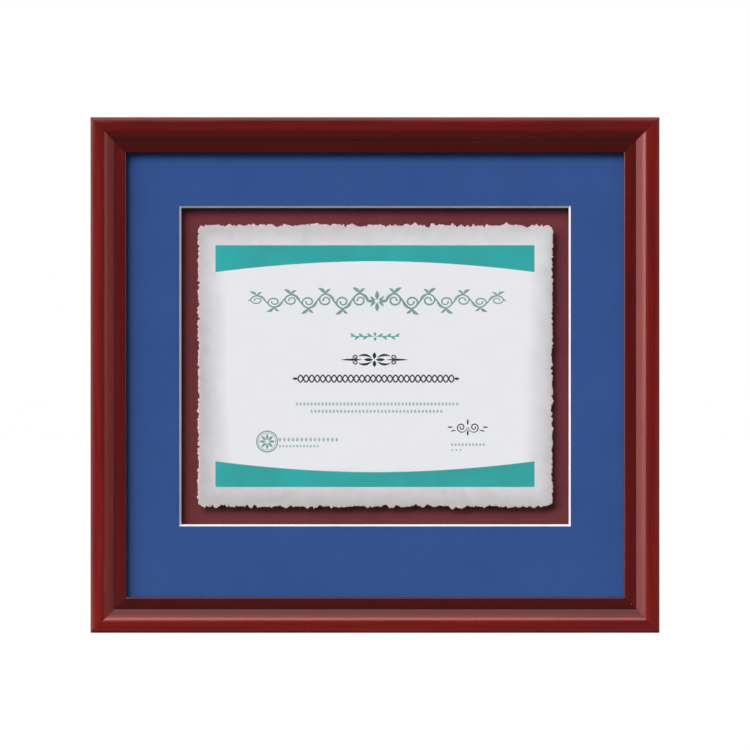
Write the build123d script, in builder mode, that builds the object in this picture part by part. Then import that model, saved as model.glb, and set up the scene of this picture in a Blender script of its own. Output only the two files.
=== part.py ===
from build123d import *
from math import asin, degrees, pi, sin, sqrt
import os

# Certificate frame: a mitred and rebated timber moulding round a glazed, matted and
# float-mounted certificate, closed at the back with a board under eight turn buttons.
# Lengths are in millimetres. X runs to the right, Z runs up and the front faces -Y.
# The origin is the centre of the underside of the whole object's box.

os.makedirs("parts", exist_ok=True)

# The certificate: a stiff sheet with a torn, deckled edge.
sheet_width = 254.0
sheet_height = 203.2
sheet_thickness = 0.4
deckle_depth = 1.1
deckle_step = 3.2
deckle_corner = 2.6
# Waves of the torn edge: how many go round the sheet, how strong each is, and where it starts.
deckle_wave_shares = ((17, 0.4, 0), (43, 0.35, 0.16), (71, 0.25, 0.32))

# The board that shows round the sheet, and the mat's borders; the lower one is deeper.
window_margin = 13.05
mat_border = 37.75
mat_foot = 50.45

# The moulding, seen from the front, and its rebate.
rail_face = 25.4
ledge = 6.0
lip_thickness = 4.4
crest_rise = 4.4
crest_fall = 0.35
brow_fall = 1.35
quirk_drop = 0.35
edge_round = 2.0
lip_round = 1.2
# How far in across the face the crest, the brow and the quirk lie.
crest_share = 0.26
brow_share = 0.44
quirk_share = 0.655

# The pack of layers in the rebate, from the front to the back.
glass_thickness = 2.0
facing_thickness = 0.2
core_thickness = 1.4
spacer_thickness = 6.35
mount_thickness = 1.5
backing_thickness = 3.0
pack_play = 0.1
side_play = 0.8
spacer_setback = 8.0
backing_corner = 2.5

# The foam block that floats the sheet off the board, and the tapes that hold the sheet.
block_inset = 11.0
block_thickness = 6.2
tape_length = 40.0
tape_width = 12.0
tape_thickness = 0.15
tape_inset = 9.0

# The steel chevrons driven across each mitre from the back.
nail_leg = 4.4
nail_thickness = 0.5
nail_depth = 10.0
nail_sink = 0.2
nail_clearance = 0.05
nail_shares = (0.3, 0.62)
nail_turn = 45.0

# The turn buttons, each a stamped plate on a pan head screw.
button_inset = 10.4
button_hub = 4.8
button_tip = 3.4
button_reach = 17.0
button_thickness = 1.0
button_edge = 0.25
button_gap = 0.1
button_bore_gap = 0.08
button_shares = {
    "bottom_rail": (0.25, 0.75),
    "right_rail": (0.25, 0.62),
    "top_rail": (0.25, 0.75),
    "left_rail": (0.38, 0.75),
}
button_head = 3.1
button_head_height = 1.9
button_shank = 1.5
button_shank_length = 12.0

# The pan head screws' common form and their pilot holes.
head_rim = 0.5
screw_point = 3.0
cross_length = 3.2
cross_width = 0.8
cross_depth = 1.0
pilot_gap = 0.05
pilot_spare = 0.5

# The two strap hangers: a doubled steel strap folded round the straight side of a D ring.
hanger_drop = 80.0
strap_width = 10.0
strap_sheet = 0.8
strap_tail = 28.0
strap_ramp = 6.0
strap_end_flat = 0.6
strap_screw_place = 20.5
strap_bore_gap = 0.1
wire = 1.0
eye_gap = 0.1
ring_width = 15.0
ring_reach = 13.5
ring_bend = 1.8
ring_rest_gap = 0.05
hanger_head = 3.6
hanger_head_height = 2.0
hanger_shank = 1.75
hanger_shank_length = 13.0

# The soft round bumpers at the lower corners.
bumper_radius = 5.5
bumper_thickness = 4.0
bumper_round = 0.8
bumper_place = 30.0

# The frame follows from the sheet outwards.
window_width = sheet_width + 2 * window_margin
window_height = sheet_height + 2 * window_margin
sight_width = window_width + 2 * mat_border
sight_height = window_height + mat_border + mat_foot
frame_width = sight_width + 2 * rail_face
frame_height = sight_height + 2 * rail_face
rail_back = rail_face - ledge

# The moulding's depth follows from what its rebate holds.
rebate_depth = (
    glass_thickness + facing_thickness + core_thickness
    + spacer_thickness + mount_thickness + backing_thickness + pack_play
)
lip_front = rebate_depth + lip_thickness
rail_depth = lip_front + crest_rise

# Levels along Y, from the wall to the front.
wall_y = (rail_depth + bumper_thickness) / 2
back_y = wall_y - bumper_thickness
ledge_y = back_y - rebate_depth
glass_back_y = ledge_y + glass_thickness
facing_back_y = glass_back_y + facing_thickness
core_back_y = facing_back_y + core_thickness
board_front_y = core_back_y + spacer_thickness
board_back_y = board_front_y + mount_thickness
backing_back_y = board_back_y + backing_thickness
block_front_y = board_front_y - block_thickness
tape_front_y = block_front_y - tape_thickness

# Heights of the two centres: the pack's, and the mat window's above it.
pack_z = frame_height / 2
window_z = rail_face + mat_foot + window_height / 2
pack_width = sight_width + 2 * (ledge - side_play)
pack_height = sight_height + 2 * (ledge - side_play)

# Each rail starts at one outer corner and runs anticlockwise to the next, seen from the front.
# Its plane has x inwards, y forwards from the back face and z along the rail.
half_width = frame_width / 2
rail_runs = {
    "bottom_rail": Plane(origin=(-half_width, back_y, 0), x_dir=(0, 0, 1), z_dir=(1, 0, 0)),
    "right_rail": Plane(origin=(half_width, back_y, 0), x_dir=(-1, 0, 0), z_dir=(0, 0, 1)),
    "top_rail": Plane(
        origin=(half_width, back_y, frame_height), x_dir=(0, 0, -1), z_dir=(-1, 0, 0)
    ),
    "left_rail": Plane(
        origin=(-half_width, back_y, frame_height), x_dir=(1, 0, 0), z_dir=(0, 0, -1)
    ),
}
rail_lengths = {
    "bottom_rail": frame_width,
    "right_rail": frame_height,
    "top_rail": frame_width,
    "left_rail": frame_height,
}
rail_names = list(rail_runs)


def keep(name, piece):
    """Label a finished piece and write it."""
    piece.part.label = name
    export_step(piece.part, f"parts/{name}.step")


def facing_front(y, z):
    """A plane at depth y, centred at height z, that looks out of the front."""
    return Plane(origin=(0, y, z), x_dir=(1, 0, 0), z_dir=(0, -1, 0))


def on_back(x, z, lift=0):
    """A plane on the rails' back face, or lifted off it, that looks at the wall."""
    return Plane(origin=(x, back_y + lift, z), x_dir=(1, 0, 0), z_dir=(0, 1, 0))


def along_rail(name, inset, run):
    """Where a point on a rail's back face lies: inset from its outer side, run along it."""
    return rail_runs[name].from_local_coords((inset, 0, run))


# Where the turn buttons turn: place, and the way in over the backing board.
button_spots = []
for name in rail_names:
    for share in button_shares[name]:
        spot = along_rail(name, button_inset, share * rail_lengths[name])
        button_spots.append((name, spot, rail_runs[name].x_dir))

# Where the hangers hang: the ring's straight side, above the strap and its screw.
ring_bar_lift = wire + eye_gap + strap_sheet
ring_bar_z = frame_height - hanger_drop
ring_lean = degrees(asin((ring_bar_lift - wire - ring_rest_gap) / ring_reach))
hanger_x = half_width - rail_back / 2
hangers = {"left": -hanger_x, "right": hanger_x}


def rail_section():
    """The moulding's section: x runs in from the outer side, y forwards from the back."""
    outer_top = rail_depth - crest_fall
    crest = (crest_share * rail_face, rail_depth)
    brow = (brow_share * rail_face, rail_depth - brow_fall)
    quirk = (quirk_share * rail_face, lip_front - quirk_drop)
    lip = (rail_face - lip_round, lip_front)
    with BuildSketch() as section:
        with BuildLine():
            Polyline(
                (0, outer_top - edge_round),
                (0, 0),
                (rail_back, 0),
                (rail_back, rebate_depth),
                (rail_face, rebate_depth),
                (rail_face, lip_front - lip_round),
            )
            TangentArc((0, outer_top - edge_round), (edge_round, outer_top), tangent=(0, 1))
            TangentArc(crest, (edge_round, outer_top), tangent=(-1, 0))
            fall = TangentArc(crest, brow, tangent=(1, 0))
            TangentArc(brow, quirk, tangent=fall % 1)
            TangentArc(lip, quirk, tangent=(-1, 0))
            TangentArc(lip, (rail_face, lip_front - lip_round), tangent=(1, 0))
        make_face()
    return section.sketch


def mitre_plane(run):
    """A plane on the back face, with x inwards along the mitre at the start of a run."""
    return Plane(origin=run.origin, x_dir=run.x_dir + run.z_dir, z_dir=run.y_dir)


def nail_chevrons(spare=0):
    """The chevrons across one mitre, grown by spare on every side."""
    mitre_length = rail_back * sqrt(2)
    with BuildSketch() as chevrons:
        for share in nail_shares:
            apex = (share * mitre_length, 0)
            with BuildLine():
                PolarLine(apex, nail_leg + spare, nail_turn)
                PolarLine(apex, nail_leg + spare, -nail_turn)
            trace(line_width=nail_thickness + 2 * spare)
    return chevrons.sketch


def pilot_holes(spots, shank, depth):
    """Holes in a rail's back face for screws of this shank."""
    for spot in spots:
        with Locations(on_back(spot.X, spot.Z)):
            Hole(radius=shank + pilot_gap, depth=depth + pilot_spare)


# How far the screws' heads stand off the rails, and how deep their shanks go in.
button_screw_lift = button_thickness + 2 * button_gap
button_pilot = button_shank_length - button_screw_lift
hanger_screw_lift = 2 * strap_sheet
hanger_pilot = hanger_shank_length - hanger_screw_lift
hanger_screw_z = ring_bar_z - strap_screw_place

# The four rails, each cut off the same moulding and mitred at both ends.
for number, name in enumerate(rail_names):
    run = rail_runs[name]
    next_run = rail_runs[rail_names[(number + 1) % len(rail_names)]]
    with BuildPart() as rail:
        with BuildSketch(run):
            add(rail_section())
        extrude(amount=rail_lengths[name])
        split(bisect_by=Plane(origin=run.origin, z_dir=run.z_dir - run.x_dir))
        split(bisect_by=Plane(origin=next_run.origin, z_dir=-run.z_dir - run.x_dir))
        for corner in (run, next_run):
            with BuildSketch(mitre_plane(corner)):
                add(nail_chevrons(nail_clearance))
            extrude(amount=nail_sink + nail_depth + nail_clearance, mode=Mode.SUBTRACT)
        own_spots = [spot for rail_name, spot, inward in button_spots if rail_name == name]
        pilot_holes(own_spots, button_shank, button_pilot)
        if name == "left_rail":
            pilot_holes([Vector(hangers["left"], 0, hanger_screw_z)], hanger_shank, hanger_pilot)
        if name == "right_rail":
            pilot_holes([Vector(hangers["right"], 0, hanger_screw_z)], hanger_shank, hanger_pilot)
    keep(name, rail)

# The steel chevrons, two across each mitre.
with BuildPart() as corner_v_nails:
    for run in rail_runs.values():
        with BuildSketch(mitre_plane(run).offset(nail_sink)):
            add(nail_chevrons())
        extrude(amount=nail_depth)
keep("corner_v_nails", corner_v_nails)

# The glass, in front of everything, against the rebate's ledge.
with BuildPart() as glass_pane:
    with BuildSketch(facing_front(glass_back_y, pack_z)):
        Rectangle(pack_width, pack_height)
    extrude(amount=glass_thickness)
keep("glass_pane", glass_pane)

# The window mat: a coloured facing paper on a white core, cut at 45 degrees all round.
with BuildPart() as mat_facing:
    with BuildSketch(facing_front(facing_back_y, pack_z)):
        Rectangle(pack_width, pack_height)
    extrude(amount=facing_thickness)
    with BuildSketch(facing_front(facing_back_y, window_z)):
        Rectangle(window_width, window_height)
    extrude(amount=facing_thickness, mode=Mode.SUBTRACT)
keep("mat_facing", mat_facing)

with BuildPart() as mat_core:
    with BuildSketch(facing_front(core_back_y, pack_z)):
        Rectangle(pack_width, pack_height)
    extrude(amount=core_thickness)
    with BuildSketch(facing_front(facing_back_y, window_z)):
        Rectangle(window_width, window_height)
    with BuildSketch(facing_front(core_back_y, window_z)):
        Rectangle(window_width - 2 * core_thickness, window_height - 2 * core_thickness)
    loft(mode=Mode.SUBTRACT)
keep("mat_core", mat_core)

# Foam strips that hold the mat off the board, set back from the window so that none shows.
shaft_width = window_width + 2 * spacer_setback
shaft_height = window_height + 2 * spacer_setback
pack_top = pack_z + pack_height / 2
pack_bottom = pack_z - pack_height / 2
shaft_top = window_z + shaft_height / 2
shaft_bottom = window_z - shaft_height / 2
side_strip = (pack_width - shaft_width) / 2
side_strip_x = (pack_width + shaft_width) / 4
spacers = {
    "top_spacer": (0, (pack_top + shaft_top) / 2, pack_width, pack_top - shaft_top),
    "bottom_spacer": (0, (pack_bottom + shaft_bottom) / 2, pack_width, shaft_bottom - pack_bottom),
    "left_spacer": (-side_strip_x, window_z, side_strip, shaft_height),
    "right_spacer": (side_strip_x, window_z, side_strip, shaft_height),
}
for name, (x, z, width, height) in spacers.items():
    with BuildPart() as spacer:
        with BuildSketch(Plane(origin=(x, board_front_y, z), x_dir=(1, 0, 0), z_dir=(0, -1, 0))):
            Rectangle(width, height)
        extrude(amount=spacer_thickness)
    keep(name, spacer)

# The coloured board that the sheet is mounted on.
with BuildPart() as mount_board:
    with BuildSketch(facing_front(board_back_y, pack_z)):
        Rectangle(pack_width, pack_height)
    extrude(amount=mount_thickness)
keep("mount_board", mount_board)

# The foam block that lifts the sheet off the board, hidden behind it.
block_width = sheet_width - 2 * block_inset
block_height = sheet_height - 2 * block_inset
with BuildPart() as float_block:
    with BuildSketch(facing_front(board_front_y, window_z)):
        Rectangle(block_width, block_height)
    extrude(amount=block_thickness)
keep("float_block", float_block)

# Double-sided tapes near the block's corners, between it and the sheet.
with BuildPart() as mounting_tapes:
    with BuildSketch(facing_front(block_front_y, window_z)):
        with GridLocations(
            block_width - tape_length - 2 * tape_inset,
            block_height - tape_width - 2 * tape_inset,
            2,
            2,
        ):
            Rectangle(tape_length, tape_width)
    extrude(amount=tape_thickness)
keep("mounting_tapes", mounting_tapes)


def deckle(turn):
    """How far in the torn edge lies, as a share of its depth, at this share of the way round."""
    waves = [
        strength * sin(2 * pi * (count * turn + start))
        for count, strength, start in deckle_wave_shares
    ]
    return (1 + sum(waves)) / 2


def deckled_outline():
    """The sheet's outline: a rectangle with eased corners, whose edge wanders in and out."""
    half_x = sheet_width / 2
    half_z = sheet_height / 2
    straight_x = sheet_width - 2 * deckle_corner
    straight_z = sheet_height - 2 * deckle_corner
    # Each side starts at its corner's ease and runs on to the next, with its outward way.
    sides = (
        ((-half_x + deckle_corner, -half_z), (1, 0), (0, -1), straight_x),
        ((half_x, -half_z + deckle_corner), (0, 1), (1, 0), straight_z),
        ((half_x - deckle_corner, half_z), (-1, 0), (0, 1), straight_x),
        ((-half_x, half_z - deckle_corner), (0, -1), (-1, 0), straight_z),
    )
    way_round = 2 * (straight_x + straight_z)
    points = []
    gone = 0
    for start, along, outward, length in sides:
        steps = round(length / deckle_step)
        for step in range(steps + 1):
            run = length * step / steps
            torn = deckle_depth * deckle((gone + run) / way_round)
            points.append((
                start[0] + along[0] * run - outward[0] * torn,
                start[1] + along[1] * run - outward[1] * torn,
            ))
        gone = gone + length
    return points


# The certificate itself, floating in the mat's window.
with BuildPart() as certificate_sheet:
    with BuildSketch(facing_front(tape_front_y, window_z)):
        with BuildLine():
            Polyline(*deckled_outline(), close=True)
        make_face()
    extrude(amount=sheet_thickness)
keep("certificate_sheet", certificate_sheet)

# The backing board, flush in the rebate behind the pack.
with BuildPart() as backing_board:
    with BuildSketch(facing_front(backing_back_y, pack_z)):
        RectangleRounded(pack_width, pack_height, backing_corner)
    extrude(amount=backing_thickness)
keep("backing_board", backing_board)


def pan_screw(head, head_height, shank, length):
    """A cross-recessed pan head screw: its seat at the origin, its head up and its point down."""
    with BuildPart() as screw:
        with BuildSketch(Plane.XZ):
            with BuildLine():
                Polyline(
                    (head, head_rim),
                    (head, 0),
                    (shank, 0),
                    (shank, -length + screw_point),
                    (0, -length),
                    (0, head_height),
                )
                TangentArc((0, head_height), (head, head_rim), tangent=(1, 0))
            make_face()
        revolve(axis=Axis.Z)
        with BuildSketch(Plane.XY.offset(head_height)):
            Rectangle(cross_length, cross_width)
            Rectangle(cross_width, cross_length)
        extrude(amount=-cross_depth, mode=Mode.SUBTRACT)
    return screw.part


# Each turn button is a tapered plate that lies over the backing board's edge.
for number, (name, spot, inward) in enumerate(button_spots, start=1):
    with BuildPart() as turn_button:
        with BuildSketch(
            Plane(origin=(spot.X, back_y + button_gap, spot.Z), x_dir=inward, z_dir=(0, 1, 0))
        ):
            Circle(button_hub)
            with Locations((button_reach, 0)):
                Circle(button_tip)
            make_hull()
            Circle(button_shank + button_bore_gap, mode=Mode.SUBTRACT)
        extrude(amount=button_thickness)
        rim = turn_button.faces().sort_by(Axis.Y)[-1].outer_wire().edges()
        fillet(rim, button_edge)
    keep(f"turn_button_{number}", turn_button)

with BuildPart() as turn_button_screws:
    with Locations(*[on_back(spot.X, spot.Z, button_screw_lift) for _, spot, _ in button_spots]):
        add(pan_screw(button_head, button_head_height, button_shank, button_shank_length))
keep("turn_button_screws", turn_button_screws)

# Each hanger's strap lies down the rail from the fold that holds the ring's straight side.
for side, x in hangers.items():
    with BuildPart() as hanger_strap:
        fold = Plane(origin=(x, back_y, ring_bar_z), x_dir=(0, 0, -1), z_dir=(1, 0, 0))
        with BuildSketch(fold):
            with Locations((0, ring_bar_lift)):
                Circle(ring_bar_lift)
            with Locations((strap_ramp / 2, strap_sheet)):
                Rectangle(strap_ramp, 2 * strap_sheet)
            make_hull()
            with Locations((strap_tail / 2, strap_sheet)):
                Rectangle(strap_tail, 2 * strap_sheet)
            with Locations((0, ring_bar_lift)):
                Circle(wire + eye_gap, mode=Mode.SUBTRACT)
        extrude(amount=strap_width / 2, both=True)
        tail_corners = hanger_strap.edges().filter_by(Axis.Y).group_by(Axis.Z)[0]
        fillet(tail_corners, (strap_width - strap_end_flat) / 2)
        with Locations(on_back(x, hanger_screw_z, hanger_screw_lift)):
            Hole(radius=hanger_shank + strap_bore_gap)
    keep(f"hanger_strap_{side}", hanger_strap)

    # The D ring stands up from its bar and leans on the rail, as it does with no hook in it.
    bar = Plane(origin=(x, back_y + ring_bar_lift, ring_bar_z), x_dir=(1, 0, 0), z_dir=(0, -1, 0))
    lean = bar.rotated((ring_lean, 0, 0))
    half_bar = ring_width / 2
    crown = ring_reach - half_bar
    with BuildPart() as hanger_ring:
        with BuildLine(lean) as ring_path:
            Line((0, 0), (half_bar - ring_bend, 0))
            RadiusArc((half_bar - ring_bend, 0), (half_bar, ring_bend), -ring_bend)
            Line((half_bar, ring_bend), (half_bar, crown))
            ThreePointArc((half_bar, crown), (0, ring_reach), (-half_bar, crown))
            Line((-half_bar, crown), (-half_bar, ring_bend))
            RadiusArc((-half_bar, ring_bend), (-half_bar + ring_bend, 0), -ring_bend)
            Line((-half_bar + ring_bend, 0), (0, 0))
        with BuildSketch(Plane(origin=lean.origin, z_dir=(1, 0, 0))):
            Circle(wire)
        sweep(path=ring_path.wires()[0])
    keep(f"hanger_ring_{side}", hanger_ring)

with BuildPart() as hanger_screws:
    with Locations(*[on_back(x, hanger_screw_z, hanger_screw_lift) for x in hangers.values()]):
        add(pan_screw(hanger_head, hanger_head_height, hanger_shank, hanger_shank_length))
keep("hanger_screws", hanger_screws)

# Soft bumpers keep the lower edge off the wall and stop the frame from sliding.
for side, x in (("left", -half_width + bumper_place), ("right", half_width - bumper_place)):
    with BuildPart() as bumper:
        with BuildSketch(on_back(x, rail_back / 2)):
            Circle(bumper_radius)
        extrude(amount=bumper_thickness)
        fillet(bumper.faces().sort_by(Axis.Y)[-1].edges(), bumper_round)
    keep(f"bumper_{side}", bumper)

print("outer size", frame_width, rail_depth, frame_height)
print("back face y", back_y, "ring bar z", ring_bar_z, "lift", ring_bar_lift, "lean", ring_lean)
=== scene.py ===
import math

import bmesh
import bpy
from mathutils import Matrix, Vector, noise


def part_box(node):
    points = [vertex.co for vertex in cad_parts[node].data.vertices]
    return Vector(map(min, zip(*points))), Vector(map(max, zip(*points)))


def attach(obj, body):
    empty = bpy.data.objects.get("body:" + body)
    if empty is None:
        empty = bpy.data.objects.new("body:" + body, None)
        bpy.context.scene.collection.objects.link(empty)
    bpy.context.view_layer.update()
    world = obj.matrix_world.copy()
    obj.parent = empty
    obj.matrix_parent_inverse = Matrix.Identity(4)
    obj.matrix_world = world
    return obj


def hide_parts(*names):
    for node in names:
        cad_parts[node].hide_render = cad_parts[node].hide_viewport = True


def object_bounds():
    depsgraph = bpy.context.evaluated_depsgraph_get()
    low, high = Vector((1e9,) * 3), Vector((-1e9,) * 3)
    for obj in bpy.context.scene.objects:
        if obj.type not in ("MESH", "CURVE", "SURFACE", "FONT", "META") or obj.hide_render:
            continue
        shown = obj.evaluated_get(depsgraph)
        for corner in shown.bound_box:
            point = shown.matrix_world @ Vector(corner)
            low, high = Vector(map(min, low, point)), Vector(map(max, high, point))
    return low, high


# Certificate frame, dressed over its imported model. Lengths below are in millimetres
# times MM; X runs right, Z up, and the front faces -Y.
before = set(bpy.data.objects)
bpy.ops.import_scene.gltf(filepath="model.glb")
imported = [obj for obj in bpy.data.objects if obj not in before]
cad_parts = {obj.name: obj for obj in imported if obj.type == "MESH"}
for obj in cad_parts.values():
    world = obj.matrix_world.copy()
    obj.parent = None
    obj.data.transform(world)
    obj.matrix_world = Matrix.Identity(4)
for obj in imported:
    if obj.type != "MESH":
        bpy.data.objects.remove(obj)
cad_low, cad_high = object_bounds()
MM = 0.001

# The moulding: four lengths of one timber section, stained red-brown and lacquered to a
# satin gloss on every side that shows. The back stays bare. The lengths are mitred, and
# each sharp edge of a mitre is eased a little, so the joints read as fine lines.
FACE = 25.4 * MM
LEDGE = 6 * MM
LIP_THICKNESS = 4.4 * MM
CREST_RISE = 4.4 * MM
CREST_FALL = 0.35 * MM
BROW_FALL = 1.35 * MM
QUIRK_DROP = 0.35 * MM
EDGE_ROUND = 2 * MM
LIP_ROUND = 1.2 * MM
CREST_SHARE = 0.26
BROW_SHARE = 0.44
QUIRK_SHARE = 0.655
MITRE_EASE = 0.14 * MM
MITRE_GAP = 0.03 * MM
SLOT_PAST_BACK = 1 * MM
SLOT_OVER_NAIL = 0.4 * MM
# How far along the board each next length was cut.
GRAIN_SHIFT = 0.71
STAIN_SPILL = 1.6 * MM
SPILL_BLUR = 0.2 * MM
STAIN_DEEP = (0.124, 0.0052, 0.0046, 1)
STAIN_LIGHT = (0.216, 0.0086, 0.0070, 1)
# The dark of stain pooled in the hollows, also used as painted shade there.
POOLED_STAIN_AND_SHADE = (0.043, 0.0020, 0.0016, 1)
STAIN_IN_PORES = (0.045, 0.004, 0.004, 1)
# How dark each length gets: on its outer part, in its hollow and on its inner bead. This is stain
# pooled in the hollow and bead, plus painted shade: the top length is darkened for the shadow its
# crest casts, and the foot's hollow for the shade it sits in.
STAIN_AND_SHADE_TAKEN = {
    "top_rail": (0.40, 0.68, 0.92),
    "right_rail": (0.04, 0.06, 0.60),
    "bottom_rail": (0.08, 0.92, 0.92),
    "left_rail": (0.0, 0.0, 0.60),
}
HOLLOW_BLEND = 2.5 * MM
BEAD_BLEND = 1.5 * MM
# A narrow line of painted shade along the quirk: its half width and its strength.
QUIRK_SHADE_LINE = 0.8 * MM
QUIRK_SHADE_SHARE = 0.4
BARE_TIMBER = (0.58, 0.40, 0.235, 1)
BARE_TIMBER_DEEP = (0.36, 0.205, 0.098, 1)
BARE_PORES = (0.20, 0.105, 0.05, 1)
# How much duller the lacquer is in the hollow, and along the outer edge that hands touch.
HOLLOW_DULLER = 0.27
HANDLED_DULLER = 0.2
# How many times finer than 1 m each pattern is, across the grain and along it.
FIGURE_SCALE = (150, 150, 7)
FIBRE_SCALE = (1300, 1300, 26)
PORE_SCALE = (2600, 2600, 130)
SPILL_SCALE = (300, 300, 60)


def add_node(tree, kind, inputs=None, **settings):
    """One node of a tree. Inputs are plain values, outputs, or nodes for their first output."""
    node = tree.nodes.new(kind)
    for name, value in settings.items():
        setattr(node, name, value)
    for name, value in (inputs or {}).items():
        if isinstance(value, bpy.types.Node):
            value = value.outputs[0]
        if isinstance(value, bpy.types.NodeSocket):
            tree.links.new(value, node.inputs[name])
        else:
            node.inputs[name].default_value = value
    return node


def sums(tree, operation, first, second=0.0, third=0.0):
    """The output of one math node."""
    node = add_node(tree, "ShaderNodeMath", {0: first, 1: second, 2: third}, operation=operation)
    return node.outputs[0]


def plus(tree, first, second):
    return sums(tree, "ADD", first, second)


def less(tree, first, second):
    return sums(tree, "SUBTRACT", first, second)


def times(tree, first, second):
    return sums(tree, "MULTIPLY", first, second)


def axes(tree, vector):
    """A vector's three parts, by their letters."""
    return add_node(tree, "ShaderNodeSeparateXYZ", {"Vector": vector}).outputs


def new_finish(name, **constants):
    """A material with one shader, and its tree and shader. Constants go on the shader's sockets."""
    finish = bpy.data.materials.new(name)
    finish.use_nodes = True
    tree = finish.node_tree
    shader = tree.nodes["Principled BSDF"]
    for socket, value in constants.items():
        shader.inputs[socket.replace("_", " ")].default_value = value
    return finish, tree, shader


def place_on(tree):
    """The place on the object, in metres."""
    return add_node(tree, "ShaderNodeTexCoord").outputs["Object"]


def patches(tree, vector, scale, detail=3.0, roughness=0.5, distortion=0.0):
    """Smooth random patches, 0 to 1, of about one over scale in size."""
    node = add_node(
        tree,
        "ShaderNodeTexNoise",
        {"Vector": vector, "Scale": scale, "Detail": detail, "Roughness": roughness,
         "Distortion": distortion},
    )
    return node.outputs["Fac"]


def stretched(tree, vector, scale):
    """A vector with its three ways scaled apart."""
    return add_node(tree, "ShaderNodeMapping", {"Vector": vector, "Scale": scale}).outputs[0]


def spread(tree, value, low, high, to_low=0.0, to_high=1.0):
    """A value's range from low to high, spread over a new range and held within it."""
    node = add_node(
        tree,
        "ShaderNodeMapRange",
        {"Value": value, "From Min": low, "From Max": high, "To Min": to_low, "To Max": to_high},
    )
    return node.outputs[0]


def mixed(tree, share, first, second, kind="RGBA"):
    """A colour between two others, or with the kind FLOAT a number between two others."""
    node = add_node(
        tree, "ShaderNodeMix", {"Factor": share, "A": first, "B": second}, data_type=kind
    )
    return node.outputs["Result"]


def dress(tree, shader, colour, roughness, height, depth, strength=0.5):
    """Gives a shader its colour, its roughness and the bumps of a height, this deep."""
    bump = add_node(
        tree, "ShaderNodeBump", {"Height": height, "Distance": depth, "Strength": strength}
    )
    tree.links.new(colour, shader.inputs["Base Color"])
    tree.links.new(roughness, shader.inputs["Roughness"])
    tree.links.new(bump.outputs[0], shader.inputs["Normal"])


def stained_timber():
    # The lacquer carries some stain too, so its highlights are warm.
    finish, tree, shader = new_finish(
        "stained_timber", Specular_IOR_Level=0.8, Specular_Tint=(1, 0.58, 0.56, 1)
    )
    grain = add_node(tree, "ShaderNodeAttribute", attribute_name="grain").outputs["Vector"]
    figure = patches(tree, stretched(tree, grain, FIGURE_SCALE), 1.0, 3.0, 0.55, 0.6)
    fibres = patches(tree, stretched(tree, grain, FIBRE_SCALE), 1.0, 4.0, 0.6)
    pores = patches(tree, stretched(tree, grain, PORE_SCALE), 1.0, 2.0, 0.5)
    pore_share = spread(tree, pores, 0.64, 0.74)
    fibre_share = times(tree, fibres, 0.38)
    tone = sums(tree, "MULTIPLY_ADD", figure, 0.62, fibre_share)
    stain = mixed(tree, spread(tree, tone, 0.36, 0.64), STAIN_DEEP, STAIN_LIGHT)
    stain = mixed(tree, times(tree, pore_share, 0.55), stain, STAIN_IN_PORES)
    inward = axes(tree, grain)["X"]
    # Pooled stain in the hollow and bead, with painted shade: darkest on the top length and in the
    # quirk.
    pooled_and_shaded = add_node(tree, "ShaderNodeAttribute", attribute_name="stain_and_shade").outputs["Fac"]
    stain = mixed(tree, pooled_and_shaded, stain, POOLED_STAIN_AND_SHADE)
    bare = mixed(tree, spread(tree, tone, 0.40, 0.60), BARE_TIMBER_DEEP, BARE_TIMBER)
    bare = mixed(tree, times(tree, pore_share, 0.7), bare, BARE_PORES)
    # The back faces +Y. Stain spills over its outer edge unevenly.
    facing = add_node(tree, "ShaderNodeTexCoord").outputs["Normal"]
    backward = axes(tree, facing)["Y"]
    ragged = patches(tree, stretched(tree, grain, SPILL_SCALE), 1.0)
    spill = times(tree, ragged, 2 * STAIN_SPILL)
    inside = spread(tree, less(tree, inward, spill), -SPILL_BLUR, SPILL_BLUR)
    unstained = times(tree, spread(tree, backward, 0.6, 0.8), inside)
    # The hollow is hard to rub down, so its lacquer stays duller than the crest's.
    gloss = spread(tree, figure, 0.3, 0.7, 0.17, 0.23)
    brow, quirk = BROW_SHARE * FACE, QUIRK_SHARE * FACE
    duller = spread(tree, inward, brow, brow + 1.8 * MM, 0.0, HOLLOW_DULLER)
    back_to_gloss = spread(tree, inward, quirk - 0.4 * MM, quirk, 0.0, HOLLOW_DULLER)
    duller = less(tree, duller, back_to_gloss)
    handled = spread(tree, inward, 1.2 * MM, 4.2 * MM, HANDLED_DULLER, 0.0)
    gloss = plus(tree, plus(tree, gloss, handled), duller)
    rough = mixed(tree, unstained, gloss, 0.72, "FLOAT")
    height = less(tree, times(tree, fibres, 0.35), pore_share)
    colour = mixed(tree, unstained, stain, bare)
    dress(tree, shader, colour, rough, height, 0.03 * MM)
    return finish


def stain_and_shade_at(inward, shares):
    """The share of pooled stain and painted shade at a distance in from the outer side: most in the
    quirk, where a painted shade line runs.
    """
    brow, quirk = BROW_SHARE * FACE, QUIRK_SHARE * FACE
    outer, hollow, bead = shares
    to_hollow = min(max((inward - brow) / HOLLOW_BLEND, 0), 1)
    to_bead = min(max((inward - quirk) / BEAD_BLEND + 1, 0), 1)
    # A narrow line of painted shade along the quirk, where a deeper groove would lie in shade.
    line = QUIRK_SHADE_SHARE * max(0, 1 - abs(inward - quirk) / QUIRK_SHADE_LINE)
    share = outer + (hollow - outer) * to_hollow + (bead - hollow) * to_bead + line
    return min(share, 1.0)


def arc_from(start, end, heading, steps):
    """Points after start along the arc that leaves start along heading and ends at end."""
    start, end, heading = Vector(start), Vector(end), Vector(heading)
    side = Vector((-heading.y, heading.x))
    chord = end - start
    turn = 2 * math.atan2(chord.dot(side), chord.dot(heading))
    centre = start + side * (chord.length_squared / (2 * chord.dot(side)))
    spoke = start - centre
    return [centre + Matrix.Rotation(turn * k / steps, 2) @ spoke for k in range(1, steps + 1)]


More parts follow.
